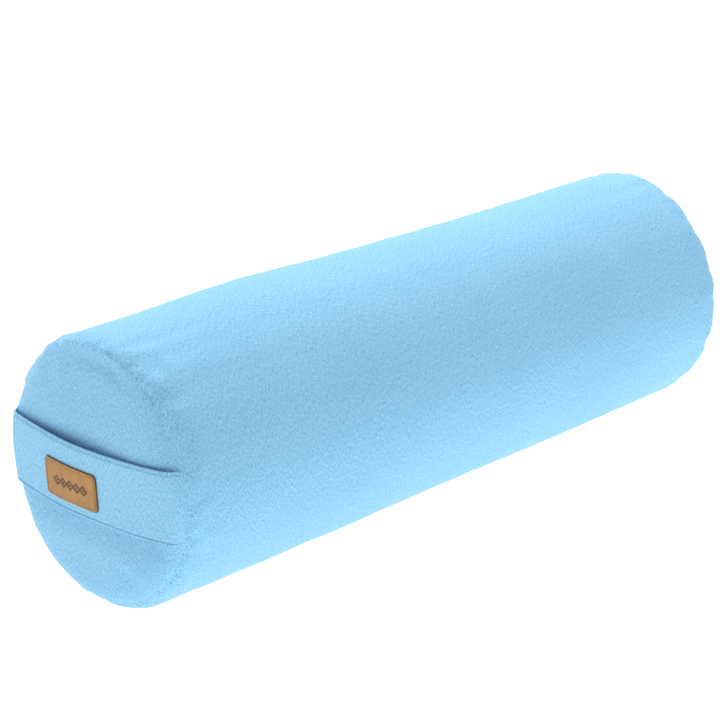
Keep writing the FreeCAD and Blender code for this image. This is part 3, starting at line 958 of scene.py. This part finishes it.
def ornament(y, z):
    """Stamped ornament: a short chain of five wide lozenges, 1 where it is pressed in and 0 outside."""
    pitch, tall, stroke, soft = 0.0078, 0.0036, 0.00060, 0.0003
    cell = (y + pitch / 2) % pitch - pitch / 2
    reach = np.abs(cell) / (pitch / 2) + np.abs(z) / tall
    slope = 1 / math.hypot(2 / pitch, 1 / tall)
    ring = 1 - smooth_step((np.abs(reach - 1.0) * slope - stroke) / soft)
    heart = 1 - smooth_step(((reach - 0.34) * slope) / soft)
    ends = 1 - smooth_step((np.abs(y) - 2.5 * pitch - 0.0002) / soft)
    return np.maximum(ring, heart) * ends


def make_patch():
    """Leather patch that follows the strap, with a rounded cut edge and a stamped ornament."""
    across, tall = 175, 93
    square = np.meshgrid(np.linspace(-1, 1, across), np.linspace(-1, 1, tall), indexing="ij")
    a, b = (side.ravel() for side in square)
    y, z = round_corners(a, b, PATCH_LENGTH, PATCH_HEIGHT, PATCH_CORNER)
    inner_y, inner_z = PATCH_LENGTH / 2 - PATCH_CORNER, PATCH_HEIGHT / 2 - PATCH_CORNER
    outside = np.hypot(np.maximum(np.abs(y) - inner_y, 0), np.maximum(np.abs(z) - inner_z, 0))
    inside = np.minimum(inner_y - np.abs(y), inner_z - np.abs(z))
    from_edge = PATCH_CORNER + np.where(outside > 0, -outside, np.maximum(inside, 0))
    mark = ornament(y, z + 0.0004)
    line = bell(from_edge - PATCH_STITCH_INSET, 0.00045)
    cut = 0.0006  # radius of the rounded cut edge
    rounded = cut * (1 - np.sqrt(np.clip(1 - (1 - np.clip(from_edge / cut, 0, 1)) ** 2, 0, 1)))
    lift = STRAP_CLOTH + PATCH_LEATHER - rounded - 0.00022 * line - 0.00032 * mark
    up = z - PATCH_DROP
    along = (PATCH_Y + y) / np.sqrt(STRAP_END_R**2 - (STRAP_RISE + up) ** 2)
    top = strap_point(along, up, lift)
    under = strap_point(along, up, STRAP_CLOTH - 0.0001 + 0 * lift)
    faces = thin_sheet_faces(across, tall)
    patch = mesh_piece("leather_patch_face", np.concatenate([top, under]), faces, patch_leather)
    outward(patch)
    burnish = smooth_step(1 - from_edge / 0.0011) + 0.35 * line
    for name, value, below in (("burnish", burnish, 1.0), ("stamp", mark, 0.0)):
        marks = patch.data.attributes.new(name, "FLOAT", "POINT")
        both_faces = np.concatenate([value, np.full(len(value), below)])
        marks.data.foreach_set("value", both_faces.astype(np.float32))
    return patch


# ================= node trees for what repeats =================


class Tree:
    """A geometry node tree with named inputs."""

    def __init__(self, name, inputs):
        self.group = bpy.data.node_groups.new(name, "GeometryNodeTree")
        self.group.interface.new_socket("Geometry", in_out="INPUT", socket_type="NodeSocketGeometry")
        self.group.interface.new_socket("Geometry", in_out="OUTPUT", socket_type="NodeSocketGeometry")
        for label, value in inputs.items():
            kind = "NodeSocketMaterial" if value is None else "NodeSocketFloat"
            socket = self.group.interface.new_socket(label, in_out="INPUT", socket_type=kind)
            if value is not None:
                socket.default_value = value
        self.given = self.group.nodes.new("NodeGroupInput").outputs
        self.result = self.group.nodes.new("NodeGroupOutput").inputs[0]

    def add(self, kind, inputs=(), **settings):
        node = self.group.nodes.new(kind)
        for key, value in settings.items():
            setattr(node, key, value)
        for key, value in dict(inputs).items():
            if isinstance(value, bpy.types.NodeSocket):
                self.group.links.new(value, node.inputs[key])
            else:
                node.inputs[key].default_value = value
        return node.outputs[0]

    def math(self, operation, *values):
        return self.add("ShaderNodeMath", enumerate(values), operation=operation)

    def end(self, geometry):
        solid = self.add("GeometryNodeRealizeInstances", {0: geometry})
        smooth = self.add("GeometryNodeSetShadeSmooth", {0: solid})
        painted = self.add("GeometryNodeSetMaterial", {0: smooth, "Material": self.given["Material"]})
        self.group.links.new(painted, self.result)
        return self.group


def stitch_tree():
    """Arched stitches along a path whose points carry the way out of the cloth."""
    tree = Tree("stitches", {
        "Pitch": 0.0032, "Stitch": 0.0026, "Thread": 0.00022, "Rise": 0.0002, "Slant": 0.05, "Material": None})
    given = tree.given
    path = tree.add("GeometryNodeMeshToCurve", {0: given["Geometry"]})
    places = tree.add("GeometryNodeResampleCurve", {0: path, "Length": given["Pitch"]}, mode="LENGTH")
    half = tree.math("MULTIPLY", given["Stitch"], 0.5)
    sink = tree.math("MULTIPLY", given["Thread"], -1.3)
    start = tree.add("ShaderNodeCombineXYZ", {0: tree.math("MULTIPLY", half, -1.0), 2: sink})
    top = tree.add("ShaderNodeCombineXYZ", {2: tree.math("MULTIPLY", given["Rise"], 2.6)})
    end = tree.add("ShaderNodeCombineXYZ", {0: half, 2: sink})
    bow = tree.add(
        "GeometryNodeCurveQuadraticBezier", {"Resolution": 6, "Start": start, "Middle": top, "End": end}
    )
    ring = tree.add("GeometryNodeCurvePrimitiveCircle", {"Resolution": 6, "Radius": given["Thread"]})
    thread = tree.add("GeometryNodeCurveToMesh", {"Curve": bow, "Profile Curve": ring, "Fill Caps": True})
    tangent = tree.add("GeometryNodeInputTangent")
    out = tree.add("GeometryNodeInputNamedAttribute", {"Name": "outward"}, data_type="FLOAT_VECTOR")
    forward = tree.add("FunctionNodeAlignRotationToVector", {"Vector": tangent}, axis="X")
    upright = tree.add(
        "FunctionNodeAlignRotationToVector", {"Rotation": forward, "Vector": out}, axis="Z", pivot_axis="X"
    )
    loose = tree.group.nodes.new("FunctionNodeRandomValue")
    loose.data_type = "FLOAT"
    loose.inputs["Seed"].default_value = 11
    most = 0.035  # radians either way, so no two stitches lie quite alike
    loose.inputs[2].default_value = -most
    loose.inputs[3].default_value = most
    yaw = tree.math("ADD", loose.outputs[1], given["Slant"])
    turned = tree.add("FunctionNodeEulerToRotation", {0: tree.add("ShaderNodeCombineXYZ", {2: yaw})})
    skew = tree.add("FunctionNodeRotateRotation", {0: upright, 1: turned}, rotation_space="LOCAL")
    row = tree.add("GeometryNodeInstanceOnPoints", {"Points": places, "Instance": thread, "Rotation": skew})
    return tree.end(row)


def coil_tree():
    """One side of a coil zip: a flattened helix of monofilament that parts round the slider's wedge."""
    names = (
        "Start", "Length", "Turns", "Half Width", "Half Height", "Wire", "Centre", "Height", "Side",
        "Phase", "Part From", "Part To", "Part By",
    )
    tree = Tree("zip_coil", {**{name: 0.0 for name in names}, "Material": None})
    given = tree.given
    helix = tree.add("GeometryNodeCurveSpiral", {
        "Resolution": 10, "Rotations": given["Turns"], "Start Radius": 1.0, "End Radius": 1.0,
        "Height": given["Length"]})
    twist = tree.add("ShaderNodeCombineXYZ", {2: given["Phase"]})
    phase = tree.add("FunctionNodeEulerToRotation", {0: twist})
    turned = tree.add("GeometryNodeTransform", {0: helix, "Rotation": phase})
    place = tree.group.nodes.new("ShaderNodeSeparateXYZ")
    tree.group.links.new(tree.add("GeometryNodeInputPosition"), place.inputs[0])
    x = tree.math("ADD", place.outputs[2], given["Start"])
    parted = tree.add("ShaderNodeMapRange", {
        "Value": x, "From Min": given["Part From"], "From Max": given["Part To"], "To Max": given["Part By"]},
        interpolation_type="SMOOTHSTEP")
    middle = tree.math("ADD", given["Centre"], parted)
    v = tree.math("MULTIPLY_ADD", place.outputs[0], given["Half Width"], middle)
    v = tree.math("MULTIPLY", v, given["Side"])
    up = tree.math("MULTIPLY_ADD", place.outputs[1], given["Half Height"], given["Height"])
    out = tree.math("ADD", up, RADIUS)
    c, s = math.cos(ZIP_ANGLE), math.sin(ZIP_ANGLE)
    y = tree.math("SUBTRACT", tree.math("MULTIPLY", out, c), tree.math("MULTIPLY", v, s))
    z = tree.math("ADD", tree.math("MULTIPLY", out, s), tree.math("MULTIPLY_ADD", v, c, AXIS_Z))
    position = tree.add("ShaderNodeCombineXYZ", {0: x, 1: y, 2: z})
    bent = tree.add("GeometryNodeSetPosition", {0: turned, "Position": position})
    ring = tree.add("GeometryNodeCurvePrimitiveCircle", {"Resolution": 6, "Radius": given["Wire"]})
    wire = tree.add("GeometryNodeCurveToMesh", {"Curve": bent, "Profile Curve": ring, "Fill Caps": True})
    return tree.end(wire)


def grow(name, group, values, mesh=None):
    """Runs a node tree on a mesh and returns the result as a plain piece."""
    holder = link(bpy.data.objects.new(name, mesh or bpy.data.meshes.new(name)))
    maker = holder.modifiers.new("Maker", "NODES")
    maker.node_group = group
    for item in group.interface.items_tree:
        if item.in_out == "INPUT" and item.name in values:
            maker[item.identifier] = values[item.name]
    return apply_modifiers(holder)


def stitch_path(points, ways_out, closed=False):
    """A line of edges whose points carry the way out of the cloth."""
    mesh = bpy.data.meshes.new("stitch_path")
    pairs = [(n, n + 1) for n in range(len(points) - 1)] + ([(len(points) - 1, 0)] if closed else [])
    mesh.from_pydata([tuple(map(float, p)) for p in points], pairs, [])
    marks = mesh.attributes.new("outward", "FLOAT_VECTOR", "POINT")
    marks.data.foreach_set("vector", np.asarray(ways_out, np.float32).ravel())
    return mesh


def stitch_strap(stitches):
    """The two rows along the strap's edges."""
    for name, side in (("strap_upper_stitching", 1), ("strap_lower_stitching", -1)):
        along = np.linspace(-0.965, 0.965, 240)
        up = np.full_like(along, side * (STRAP_WIDTH / 2 - STITCH_INSET))
        lift = STRAP_CLOTH + stitched_in(up) + 0.00012
        path = stitch_path(strap_point(along, up, lift), strap_normal(along, up))
        sizes = {"Material": blue_thread, "Pitch": 0.0031, "Stitch": 0.0027}
        row = grow(name + "_rows", stitches, sizes, path)
        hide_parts(name)
        blend_strap(row)


def stitch_patch(stitches):
    """The ring of stitching round the patch."""
    half_y, half_z = PATCH_LENGTH / 2 - PATCH_STITCH_INSET, PATCH_HEIGHT / 2 - PATCH_STITCH_INSET
    bend = PATCH_CORNER - 0.001
    corners = (
        (half_y - bend, half_z - bend),
        (bend - half_y, half_z - bend),
        (bend - half_y, bend - half_z),
        (half_y - bend, bend - half_z),
    )
    ring = []
    for n, (cy, cz) in enumerate(corners):
        for a in np.linspace(n * math.pi / 2, (n + 1) * math.pi / 2, 7):
            ring.append((cy + bend * math.cos(a), cz + bend * math.sin(a)))
    y, z = np.array(ring).T
    up = z - PATCH_DROP
    along = (PATCH_Y + y) / np.sqrt(STRAP_END_R**2 - (STRAP_RISE + up) ** 2)
    places = strap_point(along, up, STRAP_CLOTH + PATCH_LEATHER - 0.0001)
    path = stitch_path(places, strap_normal(along, up), True)
    sizes = {"Material": brown_thread, "Pitch": 0.0033, "Stitch": 0.0025, "Thread": 0.00024}
    row = grow("patch_stitching_rows", stitches, sizes, path)
    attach(row, "strap")
    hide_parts("patch_stitching")


def stitch_zip_edges(stitches):
    """The rows above and below the zip."""
    for name, side in (("zip_upper_topstitching", 1), ("zip_lower_topstitching", -1)):
        reach = ZIP_HALF + TOPSTITCH_OFFSET
        v = side * (SLIT_HALF + TOPSTITCH_OFFSET)
        x = np.linspace(-reach, reach, 400)
        angle = np.full_like(x, ZIP_ANGLE + v / RADIUS)
        ways_out = round_axis(0, 1.0, angle) - (0, 0, AXIS_Z)
        path = stitch_path(round_axis(x, RADIUS + 0.0001, angle), ways_out)
        row = grow(name + "_rows", stitches, {"Material": blue_thread}, path)
        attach(row, "cover")
        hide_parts(name)


def sew_end_seams(stitches):
    """The thread of the two end seams, down in their valleys."""
    turn = np.linspace(0, 2 * math.pi, 320, endpoint=False)
    slope = shoulder_arc()[1]
    deep = 0.0030
    for name, end in (("front_seam_thread", -1), ("rear_seam_thread", 1)):
        x = end * (SEAM_X - deep * math.cos(slope))
        places = round_axis(x, SEAM_RADIUS - deep * math.sin(slope), turn)
        ways_out = round_axis(end * math.cos(slope), math.sin(slope), turn) - (0, 0, AXIS_Z)
        path = stitch_path(places, ways_out, True)
        sizes = {"Material": blue_thread, "Pitch": 0.0029, "Stitch": 0.0018}
        row = grow(name + "_rows", stitches, sizes, path)
        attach(row, "cover")
        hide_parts(name)


def make_coils():
    """The two sides of the zip, each a coil of wire."""
    coils = coil_tree()
    pitch, wire = 0.00125, 0.00034
    start, stop = -ZIP_HALF + 0.006, SLIDER_X + SLIDER_LENGTH / 2 + 0.0015
    width = (COIL_OUTER + 0.00035) / 2 - wire
    for name, side, phase in (("zip_upper_coil", 1, 0.0), ("zip_lower_coil", -1, math.pi)):
        coil = grow(name + "_turns", coils, {
            "Start": start, "Length": stop - start, "Turns": (stop - start) / pitch, "Half Width": width,
            "Half Height": (COIL_HIGH - COIL_LOW) / 2 - wire, "Wire": wire,
            "Centre": COIL_OUTER - width - wire, "Height": (COIL_HIGH + COIL_LOW) / 2,
            "Side": side, "Phase": phase, "Part From": SLIDER_X - SLIDER_LENGTH / 2,
            "Part To": SLIDER_X + 0.002, "Part By": COIL_SPREAD, "Material": zip_nylon})
        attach(coil, "cover")
        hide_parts(name)


# ================= zip metal and care tab =================


def soften_metal(node, body, width):
    """A bevelled copy of a metal part, in place of the CAD's sharp edges."""
    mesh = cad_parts[node].data.copy()
    form = bmesh.new()
    form.from_mesh(mesh)
    bmesh.ops.remove_doubles(form, verts=form.verts, dist=1e-6)
    bmesh.ops.dissolve_limit(form, angle_limit=math.radians(2), verts=form.verts, edges=form.edges)
    form.to_mesh(mesh)
    form.free()
    mesh.materials.clear()
    mesh.materials.append(zip_metal)
    piece = link(bpy.data.objects.new(node + "_smooth", mesh))
    bevel = piece.modifiers.new("Bevel", "BEVEL")
    bevel.width = width
    bevel.segments = 2
    bevel.limit_method = "ANGLE"
    bevel.angle_limit = math.radians(40)
    apply_modifiers(piece)
    piece.data.shade_smooth()
    piece.data.set_sharp_from_angle(angle=math.radians(22))
    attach(piece, body)
    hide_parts(node)


def make_tab():
    """Blank satin tab: a doubled ribbon sewn into the lengthwise seam, standing off a little."""
    across, down = 25, 33
    low, high = TAB_X
    points = []
    for face in (0, 1):
        for i in range(across):
            for j in range(down):
                s, d = i / (across - 1), j / (down - 1)
                x = low + (high - low) * s
                rise = 0.0003 + 0.0016 * d**1.5 + 0.0004 * math.sin(math.pi * s) * d
                gap = 0.0007 * math.sin(math.pi * min(1.0, d * 1.02)) ** 0.6 + 0.0001
                height = rise + face * gap
                angle = ZIP_ANGLE - d * (TAB_DROP - 0.001 * (1 - face * 0.3)) / RADIUS
                points.append(round_axis(x, RADIUS + height, np.array(angle)))
    tab = mesh_piece("care_tab_ribbon", points, thin_sheet_faces(across, down), tab_satin)
    outward(tab)
    at = corner_points(tab.data)
    place = points_of(tab.data)[at]
    cloth_map(tab.data, place[:, 0], place[:, 2])
    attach(tab, "cover")
    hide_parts("care_tab")


# ================= floor, light and camera =================


def make_stage():
    """A pale floor, an even white surround and two soft lights."""
    floor_paint = Paint("studio_floor")
    cloud = floor_paint.noise(floor_paint.scaled(floor_paint.object_place(), 0.8, 0.8, 0.8))
    tone = floor_paint.mix(floor_paint.spread(cloud, 0.3, 0.7), rgb(0.35, 0.35, 0.35), rgb(0.37, 0.37, 0.37))
    floor_material = floor_paint.finish(
        Base_Color=tone, Roughness=0.7, Specular_IOR_Level=0.2,
        Emission_Color=rgb(1.0, 1.0, 1.0), Emission_Strength=1.2,
    )
    corners = [(-9, -9, 0), (9, -9, 0), (9, 9, 0), (-9, 9, 0)]
    floor = mesh_piece("studio_floor", corners, [(0, 1, 2, 3)], floor_material)

    world = bpy.data.worlds.new("studio")
    bpy.context.scene.world = world
    world.use_nodes = True
    sky = world.node_tree.nodes["Background"]
    sky.inputs["Color"].default_value = rgb(1.0, 1.0, 1.0)
    tree = world.node_tree
    seen = tree.nodes.new("ShaderNodeLightPath").outputs["Is Camera Ray"]
    strength = tree.nodes.new("ShaderNodeMapRange")
    tree.links.new(seen, strength.inputs["Value"])
    strength.inputs["To Min"].default_value = 0.54  # what lights the pillow
    strength.inputs["To Max"].default_value = 1.0  # what shows behind it
    tree.links.new(strength.outputs[0], sky.inputs["Strength"])

    def softbox(name, place, aim, size, power):
        light = bpy.data.lights.new(name, "AREA")
        light.shape = "RECTANGLE"
        light.size, light.size_y = size
        light.energy = power
        lamp = link(bpy.data.objects.new(name, light))
        lamp.location = place
        lamp.rotation_mode = "QUATERNION"
        lamp.rotation_quaternion = (Vector(aim) - Vector(place)).to_track_quat("-Z", "Y")

    softbox("overhead_softbox", (0.45, 1.0, 2.15), (0.0, 0.0, 0.1), (2.4, 1.6), 67.0)
    softbox("front_fill", (0.4, -2.3, 0.35), (0.0, 0.0, 0.05), (2.4, 0.6), 5.0)


CAMERA_AZIMUTH = math.radians(-46.3)
CAMERA_ELEVATION = math.radians(19.9)
CAMERA_DISTANCE = 1.896
CAMERA_ACROSS, CAMERA_UP = -0.0281, 0.0045  # aim, off the bolster's middle
CAMERA_LENS = 107.4


def make_camera():
    a, e = CAMERA_AZIMUTH, CAMERA_ELEVATION
    back = Vector((math.sin(a) * math.cos(e), -math.cos(a) * math.cos(e), math.sin(e)))
    right = Vector((math.cos(a), math.sin(a), 0.0))
    aim = Vector((0, 0, AXIS_Z)) + right * CAMERA_ACROSS + back.cross(right) * CAMERA_UP
    lens = bpy.data.cameras.new("camera")
    lens.lens = CAMERA_LENS
    lens.sensor_width = 36.0
    lens.clip_end = 40.0
    camera = link(bpy.data.objects.new("camera", lens))
    camera.location = aim + back * CAMERA_DISTANCE
    camera.rotation_mode = "QUATERNION"
    camera.rotation_quaternion = (-back).to_track_quat("-Z", "Y")
    bpy.context.scene.camera = camera


# ================= assembly =================

make_camera()
make_stage()
bpy.context.scene.view_settings.view_transform = "Standard"

make_cover()
strap = make_strap()
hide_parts("carry_strap")
blend_strap(strap)
patch = make_patch()
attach(patch, "strap")
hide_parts("leather_patch")
stitches = stitch_tree()
stitch_strap(stitches)
stitch_patch(stitches)
stitch_zip_edges(stitches)
sew_end_seams(stitches)
make_coils()
for metal_node, metal_body, metal_bevel in (
    ("zip_slider", "slider", 0.00018),
    ("zip_pull", "pull", 0.0002),
    ("zip_end_clips", "cover", 0.0002),
    ("zip_bottom_stop", "cover", 0.0003),
):
    soften_metal(metal_node, metal_body, metal_bevel)
make_tab()

for node_name, finish in (
    ("zip_upper_tape", zip_tape),
    ("zip_lower_tape", zip_tape),
    ("liner_body", liner_cotton),
    ("liner_front_panel", liner_cotton),
    ("liner_rear_panel", liner_cotton),
    ("liner_closing_thread", liner_thread),
    ("husk_filling", husks),
):
    for material_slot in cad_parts[node_name].material_slots:
        material_slot.material = finish
